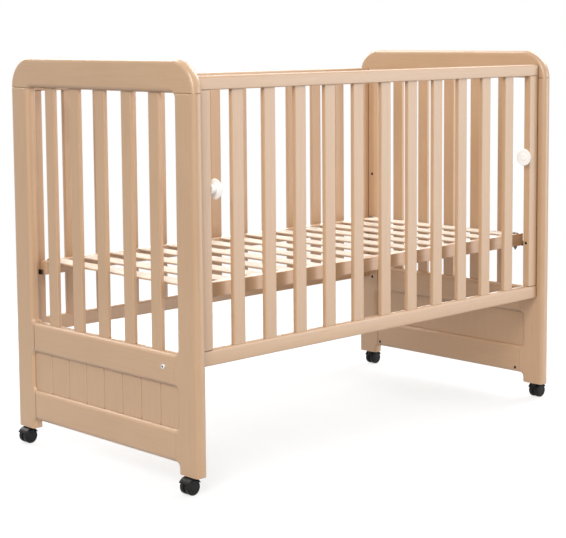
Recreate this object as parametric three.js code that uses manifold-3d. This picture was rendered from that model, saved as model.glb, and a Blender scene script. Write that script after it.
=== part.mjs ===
// Wooden crib with two routed end panels, a lowering front side, an adjustable
// slatted bed base and four swivelling twin-wheel casters.
// Millimetres, +Z up, floor at z = 0. X runs along the length, the lowering side faces -Y.
import * as THREE from "three";
import { mergeVertices } from "three/addons/utils/BufferGeometryUtils.js";
import Module from "manifold-3d";

const wasm = await Module();
wasm.setup();

// Overall sizes
const overallLength = 1268;
const overallWidth = 680;
const overallHeight = 949;
const casterHeight = 40;

// Fits
const looseFit = 0.3;
const runningFit = 0.08;
const tinyChamfer = 1.8;

// End panels
const endThickness = 29;
const headerHeight = 73;
const headerCornerRadius = 73;
const postWidth = 68;
const shoulderWidth = 7;
const edgeRadius = 11;
const cutterRadius = 10;
const footCornerRadius = 4;
const midRailBottom = 231.5;
const midRailHeight = 74.5;
const bottomRailBottom = 62.5;
const bottomRailHeight = 75;
const plankCount = 8;
const plankThickness = 10;
const plankRecess = 8.5;
const plankGrooveWidth = 5;
const plankGrooveDepth = 3.5;
const plankHousing = 6;

// Slats of the sides and of the end panels
const slatWidth = 36;
const slatThickness = 11;
const slatEdgeRadius = 2.5;
const slatTenon = 10;
const endSlatCount = 5;
const sideSlatCount = 11;
const sideSlatMargin = 4;

// Lowering front side and fixed back side
const sideThickness = 20;
const sideSetback = 20;
const sideTopDrop = 36.5;
const topRailHeight = 30.5;
const sideBottomHeight = 279;
const sideBottomRailHeight = 35.5;
const railUpperRadius = 6;
const railEdgeRadius = 3;
const stileWidth = 35;
const sideEndClearance = 2;
const backTopDrop = 16;
const backBottomDrop = 8;

// Latch knobs and guide pins of the lowering side
const knobHeight = 666;
const knobRadius = 23;
const knobHeadThickness = 6;
const knobNeckLength = 13;
const knobNeckRadius = 11;
const knobBossInset = 3;
const knobBossHeight = 1;
const knobSocketDepth = 12;
const pinFromFace = 7;
const pinRadius = 4;
const pinReach = 9;
const pinBedding = 24;
const grooveDepth = 9;
const sideDrop = 170;
const grooveRunOut = 14;

// Bed base
const baseTopHeight = 453.5;
const baseRailHeight = 33.5;
const baseRailThickness = 20;
const baseRailSetIn = 23;
const baseEndGap = 5;
const baseEdgeRadius = 2;
const baseSlatCount = 13;
const baseSlatMargin = 4;
const baseSlatWidth = 62;
const baseSlatThickness = 8;
const baseSlatBearing = 10;
const hangerLength = 14;
const hangerReach = 12;
const hangerHeight = 12;

// Casters
const wheelRadius = 18;
const wheelWidth = 13;
const wheelSpacing = 6;
const wheelRimRadius = 3;
const wheelEase = 1;
const wheelDish = 1.2;
const hubRadius = 8;
const axleRadius = 2.5;
const casterTrail = 10;
const webClearance = 0.5;
const hoodClearance = 0.7;
const hoodThickness = 1.4;
const hoodHalfAngle = (65 * Math.PI) / 180;
const hoodInset = 0.3;
const webRise = 3;
const collarRadius = 8;
const collarRise = 9;
const stemRadius = 4;
const stemLength = 34;
const stemBedding = 3.8;
const socketSpareDepth = 2;

// Facets round a full turn, and steps along a curve
const pinFacets = 16;
const knobFacets = 24;
const wheelFacets = 18;
const wellFacets = 24;
const stemFacets = 20;
const hoodSteps = 7;

// Derived levels
const halfLength = overallLength / 2;
const halfWidth = overallWidth / 2;
const innerHalfLength = halfLength - endThickness;
const postInnerY = halfWidth - postWidth;
const shoulderY = postInnerY - shoulderWidth;
const postTop = overallHeight - headerHeight;
const midRailTop = midRailBottom + midRailHeight;
const bottomRailTop = bottomRailBottom + bottomRailHeight;
const endMiddleX = halfLength - endThickness / 2;
const plankPitch = (2 * postInnerY) / plankCount;
const endSlatPitch = (2 * postInnerY + slatWidth) / (endSlatCount + 1);
const sideFaceY = halfWidth - sideSetback;
const sideInnerY = sideFaceY - sideThickness;
const sideMiddleY = (sideFaceY + sideInnerY) / 2;
const sideHalfRun = innerHalfLength - sideEndClearance;
const stileInner = sideHalfRun - stileWidth;
const sideSlatPitch = (2 * (stileInner - sideSlatMargin) + slatWidth) / (sideSlatCount + 1);
const sideTopHeight = overallHeight - sideTopDrop;
const frontSide = { bottom: sideBottomHeight, top: sideTopHeight };
const backSide = { bottom: sideBottomHeight - backBottomDrop, top: sideTopHeight - backTopDrop };
const pinY = sideFaceY - pinFromFace;
const guidePinHeight = sideBottomHeight + sideDrop + 2 * grooveRunOut;
const grooveWidth = 2 * (pinRadius + looseFit);
const grooveCorner = 0.45 * grooveWidth;
const baseHalfLength = innerHalfLength - baseEndGap;
const baseRailOffset = sideInnerY - baseRailSetIn - baseRailThickness;
const baseSlatPitch = (2 * (baseHalfLength - baseSlatMargin) - baseSlatWidth) / (baseSlatCount - 1);
const stemSeat = casterHeight - stemBedding;
const casterX = endMiddleX;
const casterY = halfWidth - postWidth / 2;

// Colours
const beige = { color: 0xc6a482, roughness: 0.5, metalness: 0 };
const birch = { color: 0xecd9bb, roughness: 0.65, metalness: 0 };
const white = { color: 0xf6f5f2, roughness: 0.25, metalness: 0 };
const black = { color: 0x1c1a18, roughness: 0.45, metalness: 0 };
const steel = { color: 0xb9bcc0, roughness: 0.35, metalness: 0.9 };

const crib = new THREE.Group();
crib.name = "crib";

// A closed geometry as a solid that can be joined and cut.
function solid(geometry) {
  const bare = geometry.index ? geometry.toNonIndexed() : geometry.clone();
  bare.deleteAttribute("normal");
  bare.deleteAttribute("uv");
  const merged = mergeVertices(bare, 1e-4);
  const mesh = new wasm.Mesh({
    numProp: 3,
    vertProperties: merged.attributes.position.array,
    triVerts: new Uint32Array(merged.index.array),
  });
  return new wasm.Manifold(mesh);
}

function geometryOf(made) {
  const mesh = made.getMesh();
  const geometry = new THREE.BufferGeometry();
  geometry.setAttribute("position", new THREE.BufferAttribute(mesh.vertProperties, 3));
  geometry.setIndex(new THREE.BufferAttribute(mesh.triVerts, 1));
  return geometry;
}

function add(name, made, look) {
  const mesh = new THREE.Mesh(geometryOf(made), new THREE.MeshStandardMaterial(look));
  mesh.name = name;
  mesh.geometry.computeVertexNormals();
  crib.add(mesh);
}

function block(x0, x1, y0, y1, z0, z1) {
  const geometry = new THREE.BoxGeometry(x1 - x0, y1 - y0, z1 - z0);
  geometry.translate((x0 + x1) / 2, (y0 + y1) / 2, (z0 + z1) / 2);
  return solid(geometry);
}

// The outline's own axes are laid on the two named by the basis, and it is pushed along the third.
function prism(outline, from, to, basis, curveSegments = 2) {
  const geometry = new THREE.ExtrudeGeometry(outline, {
    depth: to - from,
    bevelEnabled: false,
    curveSegments,
  });
  geometry.translate(0, 0, from);
  geometry.applyMatrix4(basis);
  return solid(geometry);
}

const axisX = new THREE.Vector3(1, 0, 0);
const axisY = new THREE.Vector3(0, 1, 0);
const axisZ = new THREE.Vector3(0, 0, 1);
const alongX = new THREE.Matrix4().makeBasis(axisY, axisZ, axisX);
const alongY = new THREE.Matrix4().makeBasis(axisZ, axisX, axisY);
const alongZ = new THREE.Matrix4();

function roundedRectangle(width, height, upper, lower) {
  const x = width / 2;
  const y = height / 2;
  const quarter = Math.PI / 2;
  const outline = new THREE.Shape();
  outline.absarc(x - upper, y - upper, upper, 0, quarter, false);
  outline.absarc(upper - x, y - upper, upper, quarter, 2 * quarter, false);
  outline.absarc(lower - x, lower - y, lower, 2 * quarter, 3 * quarter, false);
  outline.absarc(x - lower, lower - y, lower, 3 * quarter, 4 * quarter, false);
  outline.closePath();
  return outline;
}

// A bar whose section is centred on (a, b) of the basis and has four rounded edges.
function roundedBar(width, height, radius, a, b, from, to, basis, upper = radius) {
  const outline = roundedRectangle(width, height, upper, radius);
  const bar = prism(outline, from, to, alongZ, 1);
  const moved = bar.translate([a, b, 0]);
  return moved.transform(basis.toArray());
}

// A triangular strip that takes the sharp corner off an edge running along one axis.
function edgeChamfer(a, b, signA, signB, from, to, basis) {
  const beyond = 1;
  const outline = new THREE.Shape();
  outline.moveTo(a + signA * beyond, b + signB * beyond);
  outline.lineTo(a - signA * tinyChamfer, b + signB * beyond);
  outline.lineTo(a - signA * tinyChamfer, b);
  outline.lineTo(a, b - signB * tinyChamfer);
  outline.lineTo(a + signA * beyond, b - signB * tinyChamfer);
  outline.closePath();
  return prism(outline, from, to, basis);
}

// A turned piece on a line along X: pairs of [distance along X, radius] from the axis back to it.
function turnedAlongX(profile, y, z, segments) {
  const points = profile.map(([along, radius]) => new THREE.Vector2(radius, along));
  const geometry = new THREE.LatheGeometry(points, segments);
  geometry.rotateZ(-Math.PI / 2);
  geometry.translate(0, y, z);
  return solid(geometry);
}

function rodAlongX(x0, x1, radius, y, z, segments) {
  const profile = [
    [x0, 0],
    [x0, radius],
    [x1, radius],
    [x1, 0],
  ];
  return turnedAlongX(profile, y, z, segments);
}

// The space that a rounding-over cutter clears when it follows an opening of an end panel
// on both faces: a stack of rounded rectangles that flare towards each face.
function routedOpening(y0, y1, z0, z1) {
  const cornerSteps = 3;
  const flareSteps = 3;
  const outward = [[-1, edgeRadius]];
  for (let i = 0; i <= flareSteps; i += 1) {
    const angle = (i / flareSteps) * (Math.PI / 2);
    outward.push([edgeRadius * (1 - Math.cos(angle)), edgeRadius * (1 - Math.sin(angle))]);
  }
  const inward = outward.map(([depth, flare]) => [endThickness - depth, flare]).reverse();
  const levels = [...outward, ...inward];
  const corners = [
    [y1 - cutterRadius, z1 - cutterRadius],
    [y0 + cutterRadius, z1 - cutterRadius],
    [y0 + cutterRadius, z0 + cutterRadius],
    [y1 - cutterRadius, z0 + cutterRadius],
  ];
  const positions = [];
  for (const [depth, flare] of levels) {
    corners.forEach(([y, z], corner) => {
      for (let i = 0; i <= cornerSteps; i += 1) {
        const angle = (corner + i / cornerSteps) * (Math.PI / 2);
        const reach = cutterRadius + flare;
        const across = y + reach * Math.cos(angle);
        positions.push(-halfLength + depth, across, z + reach * Math.sin(angle));
      }
    });
  }
  const ring = corners.length * (cornerSteps + 1);
  const last = (levels.length - 1) * ring;
  const faces = [];
  for (let level = 0; level + 1 < levels.length; level += 1) {
    for (let i = 0; i < ring; i += 1) {
      const a = level * ring + i;
      const b = level * ring + ((i + 1) % ring);
      faces.push(a, b, b + ring, a, b + ring, a + ring);
    }
  }
  for (let i = 1; i + 1 < ring; i += 1) {
    faces.push(0, i + 1, i);
    faces.push(last, last + i, last + i + 1);
  }
  const geometry = new THREE.BufferGeometry();
  geometry.setAttribute("position", new THREE.Float32BufferAttribute(positions, 3));
  geometry.setIndex(faces);
  return solid(geometry);
}

// The whole end panel before it is divided: rounded top corners, and a rounded edge all
// round on both faces.
function endBlank() {
  const below = 2 * edgeRadius;
  const corner = headerCornerRadius;
  const outline = new THREE.Shape();
  outline.moveTo(-halfWidth, -below);
  outline.lineTo(halfWidth, -below);
  outline.lineTo(halfWidth, overallHeight - corner);
  outline.absarc(halfWidth - corner, overallHeight - corner, corner, 0, Math.PI / 2, false);
  outline.absarc(corner - halfWidth, overallHeight - corner, corner, Math.PI / 2, Math.PI, false);
  outline.closePath();
  const geometry = new THREE.ExtrudeGeometry(outline, {
    depth: endThickness - 2 * edgeRadius,
    bevelEnabled: true,
    bevelThickness: edgeRadius,
    bevelSize: edgeRadius,
    bevelOffset: -edgeRadius,
    bevelSegments: 3,
    curveSegments: 6,
  });
  geometry.translate(0, 0, edgeRadius - halfLength);
  geometry.applyMatrix4(alongX);
  return solid(geometry);
}

function endSlatY(index) {
  return (index - (endSlatCount - 1) / 2) * endSlatPitch;
}

function endSlat(y, extra) {
  const width = slatWidth + 2 * extra;
  const thickness = slatThickness + 2 * extra;
  const bottom = midRailTop - slatTenon - extra;
  const top = postTop + slatTenon + extra;
  const radius = slatEdgeRadius + extra;
  return roundedBar(thickness, width, radius, -endMiddleX, y, bottom, top, alongZ);
}

function header(blank, opening) {
  const x0 = -halfLength;
  const x1 = -innerHalfLength;
  let made = blank.intersect(block(x0, x1, -halfWidth, halfWidth, postTop, overallHeight));
  made = made.subtract(opening);
  for (let i = 0; i < endSlatCount; i += 1) {
    made = made.subtract(endSlat(endSlatY(i), looseFit));
  }
  const edges = [
    edgeChamfer(postTop, x0, -1, -1, -halfWidth - 1, halfWidth + 1, alongY),
    edgeChamfer(postTop, x1, -1, 1, -halfWidth - 1, halfWidth + 1, alongY),
    edgeChamfer(halfWidth, postTop, 1, -1, x0 - 1, x1 + 1, alongX),
    edgeChamfer(-halfWidth, postTop, -1, -1, x0 - 1, x1 + 1, alongX),
  ];
  return edges.reduce((rest, edge) => rest.subtract(edge), made);
}

// The rounding under a foot, between its vertical edge at y and its underside.
function footCorner(y, sign) {
  const r = footCornerRadius;
  const outline = new THREE.Shape();
  outline.moveTo(y + sign, casterHeight - 1);
  outline.lineTo(y + sign, casterHeight + r);
  outline.lineTo(y, casterHeight + r);
  if (sign > 0) {
    outline.absarc(y - r, casterHeight + r, r, 0, -Math.PI / 2, true);
  } else {
    outline.absarc(y + r, casterHeight + r, r, Math.PI, 1.5 * Math.PI, false);
  }
  outline.lineTo(y - sign * r, casterHeight - 1);
  outline.closePath();
  return prism(outline, -halfLength - 1, -innerHalfLength + 1, alongX);
}

function casterSocket(y) {
  const depth = stemLength + socketSpareDepth;
  return uprightRod(-casterX, y, stemRadius + runningFit, casterHeight - 1, casterHeight + depth);
}

function post(blank, openings, side) {
  const x0 = -halfLength;
  const x1 = -innerHalfLength;
  const inner = side * postInnerY;
  const outer = side * halfWidth;
  const yLow = Math.min(inner, outer);
  const yHigh = Math.max(inner, outer);
  const full = block(x0, x1, yLow, yHigh, casterHeight, postTop);
  const shoulder = side * shoulderY;
  const earTop = midRailTop + cutterRadius;
  const ears = block(x0, x1, Math.min(shoulder, outer), Math.max(shoulder, outer), casterHeight, earTop);
  let made = blank.intersect(full.add(ears));
  for (const opening of openings) {
    made = made.subtract(opening);
  }
  made = made.subtract(edgeChamfer(postTop, x0, 1, -1, yLow - 1, yHigh + 1, alongY));
  made = made.subtract(edgeChamfer(postTop, x1, 1, 1, yLow - 1, yHigh + 1, alongY));
  made = made.subtract(edgeChamfer(outer, postTop, side, 1, x0 - 1, x1 + 1, alongX));
  made = made.subtract(footCorner(outer, side));
  made = made.subtract(footCorner(inner, -side));
  made = made.subtract(casterSocket(side * casterY));
  made = made.subtract(panelHousing());
  if (side < 0) {
    const top = knobHeight + grooveRunOut;
    const bottom = guidePinHeight - sideDrop - grooveRunOut;
    const groove = [grooveWidth, top - bottom, grooveCorner, -pinY, (top + bottom) / 2];
    made = made.subtract(roundedBar(...groove, x1 - grooveDepth, x1 + 1, alongX));
  }
  return made;
}

// The groove in the rails and posts that holds the edges of the planked panel.
function panelHousing() {
  const face = -halfLength + plankRecess;
  const half = postInnerY + plankHousing + looseFit;
  const low = bottomRailTop - plankHousing - looseFit;
  const high = midRailBottom + plankHousing + looseFit;
  return block(face - looseFit, face + plankThickness + looseFit, -half, half, low, high);
}

function plankedPanel() {
  const face = -halfLength + plankRecess;
  const half = postInnerY + plankHousing;
  const outline = new THREE.Shape();
  outline.moveTo(face + plankThickness, -half);
  outline.lineTo(face + plankThickness, half);
  outline.lineTo(face, half);
  for (let i = plankCount - 1; i > 0; i -= 1) {
    const y = i * plankPitch - postInnerY;
    outline.lineTo(face, y + plankGrooveWidth / 2);
    outline.lineTo(face + plankGrooveDepth, y);
    outline.lineTo(face, y - plankGrooveWidth / 2);
  }
  outline.lineTo(face, -half);
  outline.closePath();
  return prism(outline, bottomRailTop - plankHousing, midRailBottom + plankHousing, alongZ);
}

// A cross rail of an end panel between the posts, with a fine line at each shoulder.
function crossRail(bottom, top, openings) {
  const x0 = -halfLength;
  const x1 = -innerHalfLength;
  let made = block(x0, x1, -shoulderY, shoulderY, bottom, top);
  for (const opening of openings) {
    made = made.subtract(opening);
  }
  made = made.subtract(panelHousing());
  for (const [x, sign] of [[x0, -1], [x1, 1]]) {
    made = made.subtract(edgeChamfer(x, shoulderY, sign, 1, bottom - 1, top + 1, alongZ));
    made = made.subtract(edgeChamfer(x, -shoulderY, sign, -1, bottom - 1, top + 1, alongZ));
  }
  return made;
}

function midRail(openings) {
  let made = crossRail(midRailBottom, midRailTop, openings);
  for (let i = 0; i < endSlatCount; i += 1) {
    made = made.subtract(endSlat(endSlatY(i), looseFit));
  }
  return made;
}

function buildEnds() {
  const blank = endBlank();
  const below = -4 * edgeRadius;
  const slatOpening = routedOpening(-postInnerY, postInnerY, midRailTop, postTop);
  const panelOpening = routedOpening(-postInnerY, postInnerY, bottomRailTop, midRailBottom);
  const footOpening = routedOpening(-postInnerY, postInnerY, below, bottomRailBottom);
  const openings = [slatOpening, panelOpening, footOpening];
  const pieces = {
    header: header(blank, slatOpening),
    front_post: post(blank, openings, -1),
    back_post: post(blank, openings, 1),
    mid_rail: midRail([slatOpening, panelOpening]),
    bottom_rail: crossRail(bottomRailBottom, bottomRailTop, [panelOpening, footOpening]),
    plank_panel: plankedPanel(),
  };
  for (let i = 0; i < endSlatCount; i += 1) {
    pieces["end_slat_" + (i + 1)] = endSlat(endSlatY(i), 0);
  }
  for (const [name, made] of Object.entries(pieces)) {
    add("left_" + name, made, beige);
    add("right_" + name, made.mirror([1, 0, 0]), beige);
  }
}

function sideSlatX(index) {
  return (index - (sideSlatCount - 1) / 2) * sideSlatPitch;
}

function sideSlat(side, index, extra) {
  const width = slatWidth + 2 * extra;
  const thickness = slatThickness + 2 * extra;
  const bottom = side.bottom + sideBottomRailHeight - slatTenon - extra;
  const top = side.top - topRailHeight + slatTenon + extra;
  const radius = slatEdgeRadius + extra;
  return roundedBar(width, thickness, radius, sideSlatX(index), -sideMiddleY, bottom, top, alongZ);
}

// A rail of a side, with mortises for the slats in the face that meets them.
function sideRail(side, halfRun, bottom, top) {
  const height = top - bottom;
  const middle = (bottom + top) / 2;
  const bar = [sideThickness, height, railEdgeRadius, -sideMiddleY, middle, -halfRun, halfRun];
  let made = roundedBar(...bar, alongX, railUpperRadius);
  for (let i = 0; i < sideSlatCount; i += 1) {
    made = made.subtract(sideSlat(side, i, looseFit));
  }
  return made;
}

function topRail(side, halfRun) {
  return sideRail(side, halfRun, side.top - topRailHeight, side.top);
}

function sideBottomRail(side, halfRun) {
  return sideRail(side, halfRun, side.bottom, side.bottom + sideBottomRailHeight);
}

function sideStile(side, outerEnd, extra) {
  const middle = outerEnd - stileWidth / 2;
  const bottom = side.bottom + sideBottomRailHeight - extra;
  const top = side.top - topRailHeight;
  const section = [stileWidth, sideThickness, railEdgeRadius, -middle, -sideMiddleY];
  return roundedBar(...section, bottom, top, alongZ);
}

function pinRod(from, to, radius, height) {
  return rodAlongX(from, to, radius, -pinY, height, pinFacets);
}

// The two pins of a stile run in one groove of the post: the upper one locks, the lower guides.
function buildLoweringSide() {
  const bore = pinRadius + looseFit;
  const guideEnd = sideHalfRun - pinBedding;
  const socketEnd = stileInner - knobSocketDepth;
  const tip = sideHalfRun + pinReach;
  let stile = sideStile(frontSide, sideHalfRun, 0);
  stile = stile.subtract(pinRod(-sideHalfRun - 1, -stileInner + 1, bore, knobHeight));
  stile = stile.subtract(pinRod(-sideHalfRun - 1, -guideEnd, bore, guidePinHeight));
  add("drop_side_top_rail", topRail(frontSide, sideHalfRun), beige);
  add("drop_side_bottom_rail", sideBottomRail(frontSide, sideHalfRun), beige);
  for (let i = 0; i < sideSlatCount; i += 1) {
    add("drop_side_slat_" + (i + 1), sideSlat(frontSide, i, 0), beige);
  }
  const pieces = [
    ["drop_side_stile", stile, beige],
    ["latch_knob", latchKnob(socketEnd), white],
    ["latch_pin", pinRod(-tip, -socketEnd - looseFit, pinRadius, knobHeight), steel],
    ["guide_pin", pinRod(-tip, -guideEnd - looseFit, pinRadius, guidePinHeight), steel],
  ];
  for (const [name, made, look] of pieces) {
    add("left_" + name, made, look);
    add("right_" + name, made.mirror([1, 0, 0]), look);
  }
}

// A round pull knob on the inner face of the left stile: a neck, a head with rounded rims
// and a shallow boss, and a socket that holds the latch pin.
function latchKnob(socketEnd) {
  const foot = -stileInner;
  const back = foot + knobNeckLength;
  const front = back + knobHeadThickness;
  const rim = knobHeadThickness / 2;
  const bossRadius = knobNeckRadius - knobBossInset;
  const bossHeight = knobBossHeight;
  const bore = pinRadius + looseFit;
  const profile = [
    [-socketEnd, 0],
    [-socketEnd, bore],
    [foot, bore],
    [foot, knobNeckRadius],
    [back, knobNeckRadius],
  ];
  const rimSteps = 4;
  for (let i = 0; i <= rimSteps; i += 1) {
    const angle = (i / rimSteps - 0.5) * Math.PI;
    const reach = knobRadius - rim + rim * Math.cos(angle);
    profile.push([back + rim + (rim - bossHeight) * Math.sin(angle), reach]);
  }
  profile.push([front - bossHeight, bossRadius + bossHeight]);
  profile.push([front, bossRadius]);
  profile.push([front, 0]);
  return turnedAlongX(profile, -pinY, knobHeight, knobFacets);
}

function buildBackSide() {
  const backward = [0, 1, 0];
  const run = innerHalfLength;
  const railTop = backSide.bottom + sideBottomRailHeight;
  const lowest = block(-run, run, -sideFaceY, -sideInnerY, backSide.bottom + 1, railTop);
  let comb = sideBottomRail(backSide, run);
  const stile = sideStile(backSide, run, slatTenon);
  comb = comb.add(stile).add(stile.mirror([1, 0, 0]));
  for (let i = 0; i < sideSlatCount; i += 1) {
    comb = comb.add(sideSlat(backSide, i, 0));
    comb = comb.add(sideSlat(backSide, i, looseFit).intersect(lowest));
  }
  add("back_side_top_rail", topRail(backSide, run).mirror(backward), beige);
  add("back_side_frame", comb.mirror(backward), beige);
}

function baseSlat(index, extra) {
  const x = (index - (baseSlatCount - 1) / 2) * baseSlatPitch;
  const end = baseRailOffset + baseSlatBearing + extra;
  const middle = baseTopHeight - baseSlatThickness / 2;
  return roundedBar(baseSlatThickness, baseSlatWidth, baseEdgeRadius, middle, x, -end, end, alongY);
}

// A long rail with a hanger at each end that reaches the flat of the post.
function baseRail() {
  const y = baseRailOffset + baseRailThickness / 2;
  const z = baseTopHeight - baseRailHeight / 2;
  const end = innerHalfLength - looseFit;
  const low = baseTopHeight - baseRailHeight;
  const face = baseRailOffset + baseRailThickness;
  const section = [baseRailThickness, baseRailHeight, baseEdgeRadius, -y, z];
  const bar = roundedBar(...section, -baseHalfLength, baseHalfLength, alongX);
  const hanger = block(-end, hangerLength - end, -face - hangerReach, -y, low, low + hangerHeight);
  return bar.add(hanger).add(hanger.mirror([1, 0, 0]));
}

function buildBedBase() {
  let frontRail = baseRail();
  let comb = baseRail().mirror([0, 1, 0]);
  const floor = baseTopHeight - baseSlatThickness;
  const reach = baseRailOffset + baseSlatBearing + looseFit;
  for (let i = 0; i < baseSlatCount; i += 1) {
    const x = (i - (baseSlatCount - 1) / 2) * baseSlatPitch;
    const half = baseSlatWidth / 2 + looseFit;
    frontRail = frontRail.subtract(block(x - half, x + half, -reach, 0, floor, baseTopHeight + 1));
    comb = comb.add(baseSlat(i, 0));
  }
  add("bed_base_front_rail", frontRail, beige);
  add("bed_base_slatted_frame", comb, birch);
}

function casterWheels(x, y) {
  const inner = wheelSpacing / 2;
  const outer = inner + wheelWidth;
  const rim = wheelRimRadius;
  const dish = wheelDish;
  const half = [
    [inner, axleRadius],
    [inner, wheelRadius - wheelEase],
    [inner + wheelEase, wheelRadius],
    [outer - rim, wheelRadius],
    [outer, wheelRadius - rim],
    [outer - dish, wheelRadius - rim - dish],
    [outer - dish, hubRadius + dish],
    [outer, hubRadius],
    [outer, 0],
  ];
  const mirrored = half.map(([along, radius]) => [-along, radius]).reverse();
  const profile = [...mirrored, ...half].map(([along, radius]) => [x + along, radius]);
  return turnedAlongX(profile, y + casterTrail, wheelRadius, wheelFacets);
}

function uprightRod(x, y, radius, z0, z1) {
  const geometry = new THREE.CylinderGeometry(radius, radius, z1 - z0, stemFacets);
  geometry.rotateX(Math.PI / 2);
  geometry.translate(x, y, (z0 + z1) / 2);
  return solid(geometry);
}

// The hood over both wheels, the web between them and the collar that takes the stem.
function casterHousing(x, y) {
  const wheelY = y + casterTrail;
  const outer = wheelSpacing / 2 + wheelWidth;
  const hoodHalf = outer - hoodInset;
  const webHalf = wheelSpacing / 2 - webClearance;
  const well = wheelRadius + hoodClearance;
  const hoodRadius = well + hoodThickness;
  const webRadius = wheelRadius - webRise;
  const acrossAxle = (from, to, radius, facets) =>
    rodAlongX(from, to, radius, wheelY, wheelRadius, facets);
  const up = Math.PI / 2;
  const hoodOutline = new THREE.Shape();
  hoodOutline.moveTo(wheelY, wheelRadius);
  hoodOutline.absarc(wheelY, wheelRadius, hoodRadius, up - hoodHalfAngle, up + hoodHalfAngle, false);
  hoodOutline.closePath();
  const collarTop = casterHeight - looseFit;
  const collarBottom = wheelRadius + collarRise;
  let made = prism(hoodOutline, x - hoodHalf, x + hoodHalf, alongX, hoodSteps);
  made = made.add(uprightRod(x, y, collarRadius, collarBottom, collarTop));
  made = made.add(acrossAxle(x - webHalf, x + webHalf, webRadius, wheelFacets));
  made = made.subtract(acrossAxle(x + webHalf, x + outer + 1, well, wellFacets));
  made = made.subtract(acrossAxle(x - outer - 1, x - webHalf, well, wellFacets));
  const axleBore = axleRadius + runningFit;
  made = made.subtract(acrossAxle(x - outer, x + outer, axleBore, wheelFacets));
  return made.subtract(uprightRod(x, y, stemRadius + looseFit, stemSeat, casterHeight + 1));
}

// The casters are drawn with the axle along X and then turned so that they trail outwards.
function buildCasters() {
  const stem = uprightRod(0, 0, stemRadius, stemSeat, casterHeight + stemLength);
  const housing = casterHousing(0, 0);
  const wheels = casterWheels(0, 0);
  for (const [endName, x, turn] of [["left", -casterX, 90], ["right", casterX, -90]]) {
    for (const [sideName, y] of [["front", -casterY], ["back", casterY]]) {
      const placed = (made) => made.rotate([0, 0, turn]).translate([x, y, 0]);
      add(sideName + "_" + endName + "_caster_stem", placed(stem), steel);
      add(sideName + "_" + endName + "_caster_housing", placed(housing), black);
      add(sideName + "_" + endName + "_caster_wheels", placed(wheels), black);
    }
  }
}

buildEnds();
buildLoweringSide();
buildBackSide();
buildBedBase();
buildCasters();

export default crib;
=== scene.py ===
"""The looks of a beige lacquered crib on its CAD frame: finishes, small fittings, light and camera."""

import math

import bpy
from mathutils import Matrix, Vector


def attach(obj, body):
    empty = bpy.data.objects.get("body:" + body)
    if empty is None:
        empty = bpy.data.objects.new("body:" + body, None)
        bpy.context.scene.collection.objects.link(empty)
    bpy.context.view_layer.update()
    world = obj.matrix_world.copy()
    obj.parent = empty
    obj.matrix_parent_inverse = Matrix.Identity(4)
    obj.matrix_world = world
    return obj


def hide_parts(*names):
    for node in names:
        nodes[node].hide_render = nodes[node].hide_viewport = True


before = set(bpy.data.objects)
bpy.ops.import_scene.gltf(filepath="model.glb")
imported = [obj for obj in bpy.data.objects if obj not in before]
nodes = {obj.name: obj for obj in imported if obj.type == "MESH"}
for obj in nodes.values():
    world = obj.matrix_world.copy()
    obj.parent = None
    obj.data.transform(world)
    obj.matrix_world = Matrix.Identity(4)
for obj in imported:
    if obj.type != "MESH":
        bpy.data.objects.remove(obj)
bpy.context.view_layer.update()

AXIS_X = 0
AXIS_Y = 1
AXIS_Z = 2
EVEN = (1.0, 1.0, 1.0)
WHITE = (1.0, 1.0, 1.0, 1.0)
CREVICE_SAMPLES = 8
FIBRE_SCALE = 5.0


def srgb(r, g, b):
    """A colour given as 0 to 255 display values, in Blender's linear values."""
    linear = []
    for value in (r, g, b):
        share = value / 255
        linear.append(share / 12.92 if share <= 0.04045 else ((share + 0.055) / 1.055) ** 2.4)
    return (*linear, 1.0)


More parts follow.
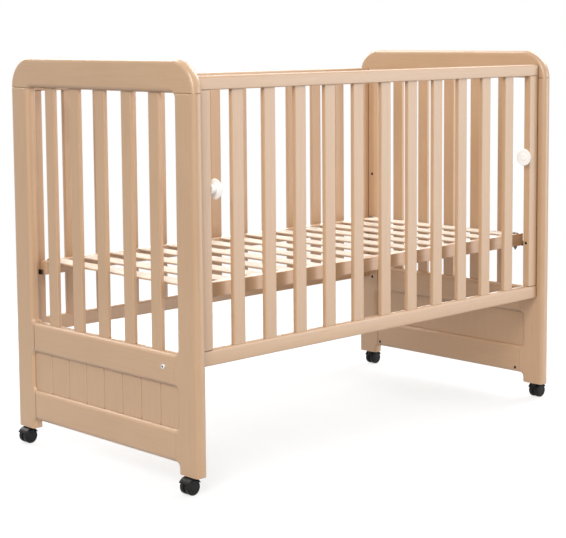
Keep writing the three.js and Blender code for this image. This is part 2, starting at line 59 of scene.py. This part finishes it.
class Shader:
    """A short way to build a node tree around one Principled shader."""

    def __init__(self, name):
        self.material = bpy.data.materials.new(name)
        self.material.use_nodes = True
        self.nodes = self.material.node_tree.nodes
        self.links = self.material.node_tree.links
        self.main = self.nodes["Principled BSDF"]
        self.texture = self.nodes.new("ShaderNodeTexCoord")

    def add(self, kind, **settings):
        """A new node with some of its settings given."""
        node = self.nodes.new(kind)
        for key, value in settings.items():
            setattr(node, key, value)
        return node

    def feed(self, value, socket):
        """Links another node's output, or sets a plain number or colour on the socket."""
        if hasattr(value, "is_linked"):
            self.links.new(value, socket)
        else:
            socket.default_value = value

    def space(self, scale=EVEN):
        """Object coordinates, stretched by a scale along each axis."""
        mapping = self.add("ShaderNodeMapping")
        mapping.inputs["Scale"].default_value = scale
        self.feed(self.texture.outputs["Object"], mapping.inputs["Vector"])
        return mapping.outputs["Vector"]

    def split(self, vector):
        """The X, Y and Z of a vector, by name."""
        node = self.add("ShaderNodeSeparateXYZ")
        self.feed(vector, node.inputs["Vector"])
        return node.outputs

    def noise(self, vector, scale, detail=4.0, roughness=0.5, distortion=0.0):
        node = self.add("ShaderNodeTexNoise")
        node.inputs["Scale"].default_value = scale
        node.inputs["Detail"].default_value = detail
        node.inputs["Roughness"].default_value = roughness
        node.inputs["Distortion"].default_value = distortion
        self.feed(vector, node.inputs["Vector"])
        return node.outputs["Fac"]

    def ramp(self, factor, stops):
        """A colour that runs through the stops, each a position and a colour."""
        node = self.add("ShaderNodeValToRGB")
        elements = node.color_ramp.elements
        for element, (position, colour) in zip(elements, (stops[0], stops[-1])):
            element.position = position
            element.color = colour
        for position, colour in stops[1:-1]:
            element = elements.new(position)
            element.color = colour
        self.feed(factor, node.inputs["Fac"])
        return node.outputs["Color"]

    def mix(self, factor, first, second):
        node = self.add("ShaderNodeMix", data_type="RGBA")
        sockets = [s for s in node.inputs if s.enabled]
        for socket, value in zip(sockets, (factor, first, second)):
            self.feed(value, socket)
        return next(s for s in node.outputs if s.enabled)

    def spread(self, factor, low, high, start=0.0, end=1.0):
        """Turns start to end into low to high."""
        node = self.add("ShaderNodeMapRange")
        node.inputs["From Min"].default_value = start
        node.inputs["From Max"].default_value = end
        node.inputs["To Min"].default_value = low
        node.inputs["To Max"].default_value = high
        self.feed(factor, node.inputs["Value"])
        return node.outputs["Result"]

    def bump(self, height, strength, distance):
        node = self.add("ShaderNodeBump")
        node.inputs["Strength"].default_value = strength
        node.inputs["Distance"].default_value = distance
        self.feed(height, node.inputs["Height"])
        return node.outputs["Normal"]

    def crevice(self, reach):
        """Ambient occlusion: one in the open, falling towards nought in a narrow joint or groove; the
        mask for painted shade.
        """
        node = self.add("ShaderNodeAmbientOcclusion", samples=CREVICE_SAMPLES)
        node.inputs["Distance"].default_value = reach
        return node.outputs["AO"]


def grain_scale(axis, along, across):
    """A stretch for grain that runs along one axis."""
    return tuple(along if i == axis else across for i in range(3))


# Beige satin lacquer over close-grained hardwood
LACQUER = srgb(190, 154, 119)
LACQUER_DEEP = srgb(181, 144, 109)
LACQUER_PALE = srgb(198, 163, 129)
# Painted shade: the dark colour the lacquer takes in narrow joints and grooves, where ambient occlusion
# finds them
LACQUER_PAINTED_SHADE = srgb(112, 78, 54)
LACQUER_FIBRES = [(0.34, LACQUER_DEEP), (0.52, LACQUER), (0.7, LACQUER_PALE)]
LACQUER_CLOUDS = [(0.3, LACQUER_DEEP), (0.7, LACQUER_PALE)]
LACQUER_ALONG = 2.0
LACQUER_ACROSS = 46.0
LACQUER_CLOUD_SCALE = 7.0
LACQUER_SPECK_SCALE = 420.0
LACQUER_FIBRE_SHARE = 0.4
LACQUER_CLOUD_SHARE = 0.22
LACQUER_SPECK_SHARE = 0.35
LACQUER_SMOOTHEST = 0.36
LACQUER_ROUGHEST = 0.5
LACQUER_RELIEF = 0.16
LACQUER_RELIEF_HEIGHT = 0.0006
LACQUER_SPECULAR = 0.7
COAT_WEIGHT = 0.35
COAT_ROUGHNESS = 0.28
CREVICE_REACH = 0.007
CREVICE_DARK = 0.25
CREVICE_OPEN = 0.72


def lacquered_wood(name, axis):
    """Lacquered wood whose grain runs along the axis, with painted shade darkening it in its joints and
    grooves.
    """
    shader = Shader(name)
    fibre_space = shader.space(grain_scale(axis, LACQUER_ALONG, LACQUER_ACROSS))
    even_space = shader.space()
    fibres = shader.noise(fibre_space, FIBRE_SCALE, detail=7.0, roughness=0.62, distortion=0.35)
    clouds = shader.noise(even_space, LACQUER_CLOUD_SCALE, detail=3.0)
    specks = shader.noise(even_space, LACQUER_SPECK_SCALE, detail=2.0)
    tone = shader.mix(LACQUER_FIBRE_SHARE, LACQUER, shader.ramp(fibres, LACQUER_FIBRES))
    tone = shader.mix(LACQUER_CLOUD_SHARE, tone, shader.ramp(clouds, LACQUER_CLOUDS))
    # Painted shade in joints and grooves, led by ambient occlusion
    openness = shader.crevice(CREVICE_REACH)
    joint_shade = shader.spread(openness, 1.0, 0.0, start=CREVICE_DARK, end=CREVICE_OPEN)
    tone = shader.mix(joint_shade, tone, LACQUER_PAINTED_SHADE)
    roughness = shader.spread(clouds, LACQUER_SMOOTHEST, LACQUER_ROUGHEST)
    relief = shader.mix(LACQUER_SPECK_SHARE, fibres, specks)
    normal = shader.bump(relief, LACQUER_RELIEF, LACQUER_RELIEF_HEIGHT)
    shader.feed(tone, shader.main.inputs["Base Color"])
    shader.feed(roughness, shader.main.inputs["Roughness"])
    shader.feed(normal, shader.main.inputs["Normal"])
    shader.main.inputs["Specular IOR Level"].default_value = LACQUER_SPECULAR
    shader.main.inputs["Coat Weight"].default_value = COAT_WEIGHT
    shader.main.inputs["Coat Roughness"].default_value = COAT_ROUGHNESS
    return shader.material


# Bare birch of the bed slats
BIRCH = srgb(219, 206, 190)
BIRCH_DEEP = srgb(212, 195, 174)
BIRCH_STREAK = srgb(197, 173, 147)
# Painted shade: the darker, warmer colour of the slats' steep sides, which turn away from the light
# above
BIRCH_SIDE_SHADE = srgb(205, 172, 142)
BIRCH_FIBRES = [(0.26, BIRCH_STREAK), (0.42, BIRCH_DEEP), (0.56, BIRCH), (0.8, BIRCH)]
BIRCH_BOARDS = [(0.35, BIRCH_DEEP), (0.65, BIRCH)]
BIRCH_ALONG = 3.0
BIRCH_ACROSS = 60.0
BOARD_ALONG = 1.5
BOARD_ACROSS = 9.0
BOARD_SCALE = 2.0
BOARD_SHARE = 0.35
SIDE_SHADE_STEEP = 0.2
SIDE_SHADE_FLAT = 0.9
BIRCH_SMOOTHEST = 0.5
BIRCH_ROUGHEST = 0.66
BIRCH_RELIEF = 0.2
BIRCH_RELIEF_HEIGHT = 0.0005


def bare_birch(name, axis):
    """Bent birch slats: pale faces with fine streaks, and painted shade making their steep sides darker
    and warmer.
    """
    shader = Shader(name)
    fibre_space = shader.space(grain_scale(axis, BIRCH_ALONG, BIRCH_ACROSS))
    board_space = shader.space(grain_scale(axis, BOARD_ALONG, BOARD_ACROSS))
    fibres = shader.noise(fibre_space, FIBRE_SCALE, detail=8.0, roughness=0.65, distortion=0.5)
    boards = shader.noise(board_space, BOARD_SCALE, detail=2.0)
    faces = shader.ramp(fibres, BIRCH_FIBRES)
    tone = shader.mix(BOARD_SHARE, faces, shader.ramp(boards, BIRCH_BOARDS))
    facing = shader.split(shader.texture.outputs["Normal"])
    # Painted shade on the slats' sides, growing as their faces turn from up
    edge = shader.spread(facing["Z"], 1.0, 0.0, start=SIDE_SHADE_STEEP, end=SIDE_SHADE_FLAT)
    roughness = shader.spread(fibres, BIRCH_SMOOTHEST, BIRCH_ROUGHEST)
    normal = shader.bump(fibres, BIRCH_RELIEF, BIRCH_RELIEF_HEIGHT)
    shader.feed(shader.mix(edge, tone, BIRCH_SIDE_SHADE), shader.main.inputs["Base Color"])
    shader.feed(roughness, shader.main.inputs["Roughness"])
    shader.feed(normal, shader.main.inputs["Normal"])
    return shader.material


MOTTLING_SCALE = 60.0
MOULD_TEXTURE_SCALE = 1600.0
MOULD_RELIEF_HEIGHT = 0.0002


def moulded_plastic(name, base, shade, smoothest, roughest, relief, shine=0.5, painted_glow=0.0):
    """Plastic from a mould: a slight mottling of colour and sheen over a fine texture, and, where asked
    for, a faint painted glow in its own colour.
    """
    shader = Shader(name)
    mottling = shader.noise(shader.space(), MOTTLING_SCALE, detail=3.0)
    texture = shader.noise(shader.space(), MOULD_TEXTURE_SCALE, detail=2.0)
    tone = shader.ramp(mottling, [(0.35, shade), (0.65, base)])
    shader.feed(tone, shader.main.inputs["Base Color"])
    roughness = shader.spread(mottling, smoothest, roughest)
    shader.feed(roughness, shader.main.inputs["Roughness"])
    normal = shader.bump(texture, relief, MOULD_RELIEF_HEIGHT)
    shader.feed(normal, shader.main.inputs["Normal"])
    shader.main.inputs["Specular IOR Level"].default_value = shine
    shader.main.inputs["Emission Color"].default_value = base
    shader.main.inputs["Emission Strength"].default_value = painted_glow
    return shader.material


STEEL_MARK_SCALE = 700.0
STEEL_STAIN_SCALE = 40.0
STEEL_SMOOTHEST = 0.22
STEEL_ROUGHEST = 0.42
STEEL_RELIEF = 0.1
STEEL_RELIEF_HEIGHT = 0.0001


def plated_steel(name, dark, light):
    """Zinc-plated steel: a faint stain in its tone, fine marks in its sheen."""
    shader = Shader(name)
    marks = shader.noise(shader.space(), STEEL_MARK_SCALE, detail=3.0)
    stain = shader.noise(shader.space(), STEEL_STAIN_SCALE, detail=3.0)
    tone = shader.ramp(stain, [(0.3, dark), (0.7, light)])
    roughness = shader.spread(marks, STEEL_SMOOTHEST, STEEL_ROUGHEST)
    normal = shader.bump(marks, STEEL_RELIEF, STEEL_RELIEF_HEIGHT)
    shader.feed(tone, shader.main.inputs["Base Color"])
    shader.feed(roughness, shader.main.inputs["Roughness"])
    shader.feed(normal, shader.main.inputs["Normal"])
    shader.main.inputs["Metallic"].default_value = 1.0
    return shader.material


wood = {
    AXIS_X: lacquered_wood("lacquer_grain_x", AXIS_X),
    AXIS_Y: lacquered_wood("lacquer_grain_y", AXIS_Y),
    AXIS_Z: lacquered_wood("lacquer_grain_z", AXIS_Z),
}
birch = bare_birch("birch_grain_y", AXIS_Y)
white_plastic = moulded_plastic(
    "white_plastic",
    srgb(246, 245, 242),
    srgb(243, 242, 238),
    smoothest=0.16,
    roughest=0.26,
    relief=0.03,
    # A faint painted glow, so the knobs look brighter than the lamps light them
    painted_glow=0.02,
)
black_plastic = moulded_plastic(
    "black_plastic",
    srgb(20, 19, 19),
    srgb(14, 13, 13),
    smoothest=0.34,
    roughest=0.5,
    relief=0.12,
    shine=0.18,
)
wheel_plastic = moulded_plastic(
    "wheel_plastic",
    srgb(23, 22, 22),
    srgb(15, 14, 14),
    smoothest=0.4,
    roughest=0.58,
    relief=0.16,
    shine=0.18,
)
# Painted shade: the near-black floor of a hole or socket, standing for the shade inside it
painted_hole_shade = moulded_plastic(
    "painted_hole_shade",
    srgb(20, 14, 10),
    srgb(12, 8, 6),
    smoothest=0.8,
    roughest=0.95,
    relief=0.1,
)
steel = plated_steel("steel", srgb(206, 207, 208), srgb(228, 229, 230))
dull_steel = plated_steel("dull_steel", srgb(108, 100, 92), srgb(134, 126, 118))


def paint(obj, *materials):
    """Gives an object these materials and no others."""
    obj.data.materials.clear()
    for material in materials:
        obj.data.materials.append(material)


def material_for(name):
    """The finish of a CAD node, told by its name; wood takes the grain of its length."""
    if "caster_wheels" in name:
        return wheel_plastic
    if "caster_housing" in name:
        return black_plastic
    if name.endswith(("_pin", "_stem")):
        return steel
    if "knob" in name:
        return white_plastic
    if name.endswith(("header", "mid_rail", "bottom_rail")) and "side" not in name:
        return wood[AXIS_Y]
    if "rail" in name:
        return wood[AXIS_X]
    return wood[AXIS_Z]


EDGE_WIDTH = 0.0009
SMALL_EDGE_WIDTH = 0.0002
WELD_REACH = 1e-6
FLAT_ANGLE = math.radians(2.5)
SHARP_ANGLE = math.radians(32)
ROUND_STEPS = 4


def shade_smooth(mesh):
    mesh.polygons.foreach_set("use_smooth", [True] * len(mesh.polygons))


def round_edges(obj, width, steps=2):
    """Rounds the sharp edges and leaves the faces between them flat."""
    edge = obj.modifiers.new("edge", "BEVEL")
    edge.width = width
    edge.segments = steps
    edge.limit_method = "ANGLE"
    edge.angle_limit = SHARP_ANGLE
    edge.harden_normals = True


def soften(obj, width):
    """Joins split vertices and flat triangles, then rounds the sharp edges a little."""
    shade_smooth(obj.data)
    weld = obj.modifiers.new("join", "WELD")
    weld.merge_threshold = WELD_REACH
    flat = obj.modifiers.new("flat", "DECIMATE")
    flat.decimate_type = "DISSOLVE"
    flat.angle_limit = FLAT_ANGLE
    round_edges(obj, width)
    normals = obj.modifiers.new("normals", "WEIGHTED_NORMAL")
    normals.keep_sharp = True


def edge_width_for(name):
    """Small parts get a finer edge, as a wide one would spoil their shape."""
    small = "caster" in name or "pin" in name or "knob" in name
    return SMALL_EDGE_WIDTH if small else EDGE_WIDTH


for name, obj in nodes.items():
    paint(obj, material_for(name))
    soften(obj, edge_width_for(name))


def new_object(name, vertices, faces):
    """A mesh object of its own, at the origin of the frame."""
    mesh = bpy.data.meshes.new(name)
    mesh.from_pydata(vertices, [], faces)
    shade_smooth(mesh)
    obj = bpy.data.objects.new(name, mesh)
    bpy.context.scene.collection.objects.link(obj)
    return obj


def turned_piece(name, profile, sides, core_radius, skin, core):
    """A small turned piece about its own Z axis; faces within the core radius get the core's finish."""
    vertices = [(0.0, 0.0, profile[0][1])]
    for radius, height in profile[1:]:
        for i in range(sides):
            angle = 2 * math.pi * i / sides
            vertices.append((radius * math.cos(angle), radius * math.sin(angle), height))
    faces = []
    for i in range(sides):
        faces.append((0, 1 + i, 1 + (i + 1) % sides))
    for ring in range(len(profile) - 2):
        low = 1 + ring * sides
        for i in range(sides):
            j = (i + 1) % sides
            faces.append((low + i, low + sides + i, low + sides + j, low + j))
    last = 1 + (len(profile) - 2) * sides
    faces.append(tuple(last + i for i in reversed(range(sides))))
    obj = new_object(name, vertices, faces)
    paint(obj, skin, core)
    for polygon in obj.data.polygons:
        centre = polygon.center
        inside = math.hypot(centre.x, centre.y) < core_radius and len(polygon.vertices) < sides
        polygon.material_index = 1 if inside else 0
    round_edges(obj, SMALL_EDGE_WIDTH)
    return obj


def stand(obj, place, outward, body):
    """Puts a turned piece at a place with its top facing outward, on a body."""
    turn = Vector(outward).to_track_quat("Z", "Y").to_matrix().to_4x4()
    obj.matrix_world = Matrix.Translation(Vector(place)) @ turn
    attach(obj, body)


# The bed base as it lies in the CAD frame, in metres
BASE_TOP = 0.4535
BASE_BOTTOM = 0.420
BASE_HALF_LENGTH = 0.600
BASE_RAIL_INNER = 0.257
BASE_RAIL_OUTER = 0.277
RAIL_ROUND = 0.002
SLAT_COUNT = 13
SLAT_PITCH = 0.0941667
SLAT_WIDTH = 0.050
SLAT_THICKNESS = 0.005
SLAT_ROUND = 0.0024
SLAT_BEARING = 0.010
SLAT_SINK = 0.0004
HANGER_FACE = 0.6047
HANGER_BACK = 0.5907
HANGER_INNER = 0.267
HANGER_OUTER = 0.2825
HANGER_TOP = 0.432
HANGER_WALL = 0.0025
HANGER_ROUND = 0.0005


def box_piece(name, low, high, rounding, material, body):
    """A box between two corners with rounded edges, riding on a body."""
    spans = list(zip(low, high))
    vertices = [(x, y, z) for x in spans[0] for y in spans[1] for z in spans[2]]
    faces = [(0, 1, 3, 2), (4, 6, 7, 5), (0, 4, 5, 1), (2, 3, 7, 6), (0, 2, 6, 4), (1, 5, 7, 3)]
    obj = new_object(name, vertices, faces)
    paint(obj, material)
    round_edges(obj, rounding, ROUND_STEPS)
    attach(obj, body)
    return obj


def across(sign, inner, outer):
    """The two Y values of a piece on the front or back side, the lower first."""
    return sorted((sign * inner, sign * outer))


def make_bed_base():
    """Two long rails with an angle iron at each end, and thin bent slats let into the rails."""
    for side, sign in (("front", -1.0), ("back", 1.0)):
        y0, y1 = across(sign, BASE_RAIL_INNER, BASE_RAIL_OUTER)
        low, high = (-BASE_HALF_LENGTH, y0, BASE_BOTTOM), (BASE_HALF_LENGTH, y1, BASE_TOP)
        name = f"bed_base_{side}_rail_shown"
        rail = box_piece(name, low, high, RAIL_ROUND, wood[AXIS_X], "bed_base")
        y0, y1 = across(sign, HANGER_INNER, HANGER_OUTER)
        for end, way in (("left", -1.0), ("right", 1.0)):
            wall = sorted((way * HANGER_FACE, way * (HANGER_FACE - HANGER_WALL)))
            foot = sorted((way * HANGER_FACE, way * HANGER_BACK))
            plate = f"{end}_{side}_hanger"
            low, high = (wall[0], y0, BASE_BOTTOM), (wall[1], y1, HANGER_TOP)
            box_piece(plate + "_wall", low, high, HANGER_ROUND, dull_steel, "bed_base")
            low, high = (foot[0], y0, BASE_BOTTOM), (foot[1], y1, BASE_BOTTOM + HANGER_WALL)
            box_piece(plate + "_foot", low, high, HANGER_ROUND, dull_steel, "bed_base")
    top = BASE_TOP - SLAT_SINK
    reach = BASE_RAIL_INNER + SLAT_BEARING
    for i in range(SLAT_COUNT):
        x = (i - (SLAT_COUNT - 1) / 2) * SLAT_PITCH
        low = (x - SLAT_WIDTH / 2, -reach, top - SLAT_THICKNESS)
        high = (x + SLAT_WIDTH / 2, reach, top)
        box_piece(f"bed_slat_{i + 1}", low, high, SLAT_ROUND, birch, "bed_base")
    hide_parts("bed_base_front_rail")
    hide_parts("bed_base_slatted_frame")


# Small fittings of the photograph: metres, [radius, height] from the axis outwards
SLEEVE = [(0.0, 0.0002), (0.0030, 0.0002), (0.0033, 0.0007), (0.0038, 0.0006), (0.0041, -0.0004)]
BOLT_HEAD = [
    (0.0, 0.0006),
    (0.0022, 0.0006),
    (0.0024, 0.0032),
    (0.0046, 0.0036),
    (0.0060, 0.0024),
    (0.0065, 0.0002),
    (0.0065, -0.0006),
]
DOME_HEAD = [
    (0.0, 0.0042),
    (0.0030, 0.0040),
    (0.0060, 0.0031),
    (0.0082, 0.0017),
    (0.0090, 0.0),
    (0.0090, -0.0004),
]
HEX_NUT = [
    (0.0, 0.0100),
    (0.0024, 0.0100),
    (0.0026, 0.0058),
    (0.0046, 0.0056),
    (0.0050, 0.0050),
    (0.0050, -0.0004),
]

# Where the fittings sit, in metres
POST_FACE = 0.605
OUTER_FACE = 0.634
LEVEL_HOLE_Y = 0.2865
LEVEL_HOLES_Z = (0.2700, 0.4255, 0.5805)
RAIL_HOLE_Y = {"front": 0.249, "back": 0.255}
RAIL_HOLE_Z = 0.076
BOLT_Y = -0.227
BOLT_Z = 0.2735
HANGER_BOLT_X = 0.578
HANGER_BOLT_Y = 0.267
STILE_FACE = 0.568
STILE_HOLE_Y = -0.310
STILE_HOLE_Z = 0.432

HOLE_SIDES = 24
HOLE_RADIUS = 0.0031
HEAD_SIDES = 24
NUT_SIDES = 6
BOLT_SIDES = 28
SOCKET_RADIUS = 0.0023
UP = (0.0, 0.0, 1.0)
DOWN = (0.0, 0.0, -1.0)


def add_hole(name, place, outward, body):
    """A hole with a black sleeve in its mouth, its floor painted near black as the shade inside the
    hole.
    """
    sleeve = turned_piece(name, SLEEVE, HOLE_SIDES, HOLE_RADIUS, black_plastic, painted_hole_shade)
    stand(sleeve, place, outward, body)


def add_bed_bolt(corner, x, y):
    """The bolt of a hanger: its head on the rail, its nut below."""
    name = corner + "_hanger_bolt_head"
    head = turned_piece(name, DOME_HEAD, HEAD_SIDES, 0.0, dull_steel, dull_steel)
    stand(head, (x, y, BASE_TOP), UP, "bed_base")
    name = corner + "_hanger_nut"
    nut = turned_piece(name, HEX_NUT, NUT_SIDES, 0.0, dull_steel, dull_steel)
    stand(nut, (x, y, BASE_BOTTOM), DOWN, "bed_base")


def add_fittings():
    """Holes and bolts at both ends; the front posts are shown without a lowest level hole."""
    for end, way in (("left", -1.0), ("right", 1.0)):
        inward = (-way, 0.0, 0.0)
        outward = (way, 0.0, 0.0)
        for side, sign in (("front", -1.0), ("back", 1.0)):
            corner = f"{end}_{side}"
            levels = LEVEL_HOLES_Z if side == "back" else LEVEL_HOLES_Z[1:]
            for level, z in enumerate(levels):
                place = (way * POST_FACE, sign * LEVEL_HOLE_Y, z)
                add_hole(f"{corner}_level_hole_{level + 1}", place, inward, "frame")
            place = (way * POST_FACE, sign * RAIL_HOLE_Y[side], RAIL_HOLE_Z)
            add_hole(corner + "_rail_hole", place, inward, "frame")
            add_bed_bolt(corner, way * HANGER_BOLT_X, sign * HANGER_BOLT_Y)
        name = f"{end}_mid_rail_bolt"
        # The bolt's socket is painted near black as the shade inside it
        bolt = turned_piece(name, BOLT_HEAD, BOLT_SIDES, SOCKET_RADIUS, steel, painted_hole_shade)
        stand(bolt, (way * OUTER_FACE, BOLT_Y, BOLT_Z), outward, "frame")
        place = (way * STILE_FACE, STILE_HOLE_Y, STILE_HOLE_Z)
        add_hole(f"{end}_stile_hole", place, inward, "drop_side")


make_bed_base()
add_fittings()

FLOOR_RADIUS = 3.2
FLOOR_SIDES = 96
FLOOR_TONES = [(0.3, (0.9, 0.9, 0.9, 1.0)), (0.7, (0.93, 0.93, 0.93, 1.0))]
FLOOR_CLOUD_SCALE = 0.7
FLOOR_ROUGHNESS = 0.9
FADE_START = 0.34
FADE_END = 0.8
# The share of the white surroundings that the floor hides at its middle
FLOOR_COVER = 0.32


def make_floor():
    """A pale round floor that fades into the white surroundings well before its rim."""
    rim = []
    for i in range(FLOOR_SIDES):
        angle = 2 * math.pi * i / FLOOR_SIDES
        rim.append((FLOOR_RADIUS * math.cos(angle), FLOOR_RADIUS * math.sin(angle), 0.0))
    floor = new_object("floor", rim, [tuple(range(FLOOR_SIDES))])
    shader = Shader("floor")
    cloud = shader.noise(shader.space(), FLOOR_CLOUD_SCALE)
    shader.feed(shader.ramp(cloud, FLOOR_TONES), shader.main.inputs["Base Color"])
    shader.main.inputs["Roughness"].default_value = FLOOR_ROUGHNESS
    shader.main.inputs["Specular IOR Level"].default_value = 0.0
    gradient = shader.add("ShaderNodeTexGradient", gradient_type="SPHERICAL")
    shader.feed(shader.space((1 / FLOOR_RADIUS,) * 3), gradient.inputs["Vector"])
    fade = shader.add("ShaderNodeMapRange", interpolation_type="SMOOTHSTEP")
    fade.inputs["From Min"].default_value = 1 - FADE_END
    fade.inputs["From Max"].default_value = 1 - FADE_START
    fade.inputs["To Max"].default_value = FLOOR_COVER
    shader.feed(gradient.outputs["Fac"], fade.inputs["Value"])
    shader.feed(fade.outputs["Result"], shader.main.inputs["Alpha"])
    paint(floor, shader.material)


SKY_STRENGTH = 0.4
GROUND_STRENGTH = 0.08
GROUND_HEIGHT = -0.1
SKY_HEIGHT = 0.3
WORLD_TINT = (1.0, 0.985, 0.965, 1.0)


def make_world():
    """Soft light all round, and plain white where the camera or a reflection sees the surroundings."""
    world = bpy.data.worlds.new("studio")
    bpy.context.scene.world = world
    world.use_nodes = True
    tree = world.node_tree
    tree.nodes.clear()
    path = tree.nodes.new("ShaderNodeLightPath")
    lit = tree.nodes.new("ShaderNodeBackground")
    lit.inputs["Color"].default_value = WORLD_TINT
    direction = tree.nodes.new("ShaderNodeTexCoord")
    parts = tree.nodes.new("ShaderNodeSeparateXYZ")
    height = tree.nodes.new("ShaderNodeMapRange")
    height.inputs["From Min"].default_value = GROUND_HEIGHT
    height.inputs["From Max"].default_value = SKY_HEIGHT
    height.inputs["To Min"].default_value = GROUND_STRENGTH
    height.inputs["To Max"].default_value = SKY_STRENGTH
    tree.links.new(direction.outputs["Generated"], parts.inputs["Vector"])
    tree.links.new(parts.outputs["Z"], height.inputs["Value"])
    tree.links.new(height.outputs["Result"], lit.inputs["Strength"])
    seen = tree.nodes.new("ShaderNodeBackground")
    seen.inputs["Color"].default_value = WHITE
    seen.inputs["Strength"].default_value = 1.0
    glossy = tree.nodes.new("ShaderNodeMath")
    glossy.operation = "MAXIMUM"
    clear = tree.nodes.new("ShaderNodeMath")
    clear.operation = "MAXIMUM"
    choose = tree.nodes.new("ShaderNodeMixShader")
    out = tree.nodes.new("ShaderNodeOutputWorld")
    tree.links.new(path.outputs["Is Camera Ray"], glossy.inputs[0])
    tree.links.new(path.outputs["Is Glossy Ray"], glossy.inputs[1])
    tree.links.new(glossy.outputs[0], clear.inputs[0])
    tree.links.new(path.outputs["Is Transmission Ray"], clear.inputs[1])
    tree.links.new(clear.outputs[0], choose.inputs["Fac"])
    tree.links.new(lit.outputs[0], choose.inputs[1])
    tree.links.new(seen.outputs[0], choose.inputs[2])
    tree.links.new(choose.outputs[0], out.inputs["Surface"])


MIDDLE = Vector((0.0, 0.0, 0.45))
# Round lamps that face the middle of the crib: name, place, width and power
LAMPS = [
    ("front_right", (5.4, -6.0, 1.0), 4.4, 220.0),
    ("upper_right", (5.0, 0.0, 4.6), 4.2, 330.0),
    ("upper_back", (0.0, 5.0, 4.6), 4.2, 330.0),
    ("upper_left", (-2.9, -1.8, 3.0), 1.8, 68.0),
    ("low_back", (4.4, 4.4, 1.3), 3.0, 130.0),
]
KEY_SOURCE = Vector((-0.70, -0.56, 0.44))
KEY_STRENGTH = 1.36
KEY_SPREAD = math.radians(50)


def add_light(name, kind, turn, power):
    """A light of one kind, turned as given."""
    data = bpy.data.lights.new(name, kind)
    data.energy = power
    lamp = bpy.data.objects.new(name, data)
    lamp.rotation_euler = turn.to_euler()
    bpy.context.scene.collection.objects.link(lamp)
    return lamp


def make_lights():
    """Lamps all round, and one key light with soft shadows for the whole crib."""
    for name, place, width, power in LAMPS:
        turn = (MIDDLE - Vector(place)).to_track_quat("-Z", "Y")
        lamp = add_light(name, "AREA", turn, power)
        lamp.location = place
        lamp.data.shape = "DISK"
        lamp.data.size = width
    key = add_light("key", "SUN", KEY_SOURCE.to_track_quat("Z", "Y"), KEY_STRENGTH)
    key.data.angle = KEY_SPREAD


# The photograph's camera, fitted to the crib's corners, with less lens shift than the best fit
IMAGE_WIDTH = 566
IMAGE_HEIGHT = 538
CAMERA_PLACE = Vector((-2.748096, -2.793365, 1.008944))
CAMERA_YAW = 0.77177
CAMERA_PITCH = -0.10091
CAMERA_ROLL = -0.0071
FOCAL_PIXELS = 1528.96
CENTRE_PIXEL = (286.717, 185.0)
SENSOR_WIDTH = 36.0
NEAREST = 0.05
FARTHEST = 60.0


def make_camera():
    """Sets the camera from its place, its three turns and the centre of its lens."""
    yaw = CAMERA_YAW
    pitch = CAMERA_PITCH
    roll = CAMERA_ROLL
    ahead = Vector((math.sin(yaw) * math.cos(pitch), math.cos(yaw) * math.cos(pitch), math.sin(pitch)))
    level = Vector((math.cos(yaw), -math.sin(yaw), 0.0))
    rise = level.cross(ahead)
    right = math.cos(roll) * level + math.sin(roll) * rise
    up = -math.sin(roll) * level + math.cos(roll) * rise
    data = bpy.data.cameras.new("camera")
    data.sensor_width = SENSOR_WIDTH
    data.lens = FOCAL_PIXELS * SENSOR_WIDTH / IMAGE_WIDTH
    data.shift_x = (IMAGE_WIDTH / 2 - CENTRE_PIXEL[0]) / IMAGE_WIDTH
    data.shift_y = (CENTRE_PIXEL[1] - IMAGE_HEIGHT / 2) / IMAGE_WIDTH
    data.clip_start = NEAREST
    data.clip_end = FARTHEST
    camera = bpy.data.objects.new("camera", data)
    turn = Matrix((right, up, -ahead)).transposed()
    camera.matrix_world = Matrix.Translation(CAMERA_PLACE) @ turn.to_4x4()
    bpy.context.scene.collection.objects.link(camera)
    bpy.context.scene.camera = camera


make_floor()
make_world()
make_lights()
make_camera()

bpy.context.scene.view_settings.view_transform = "Standard"
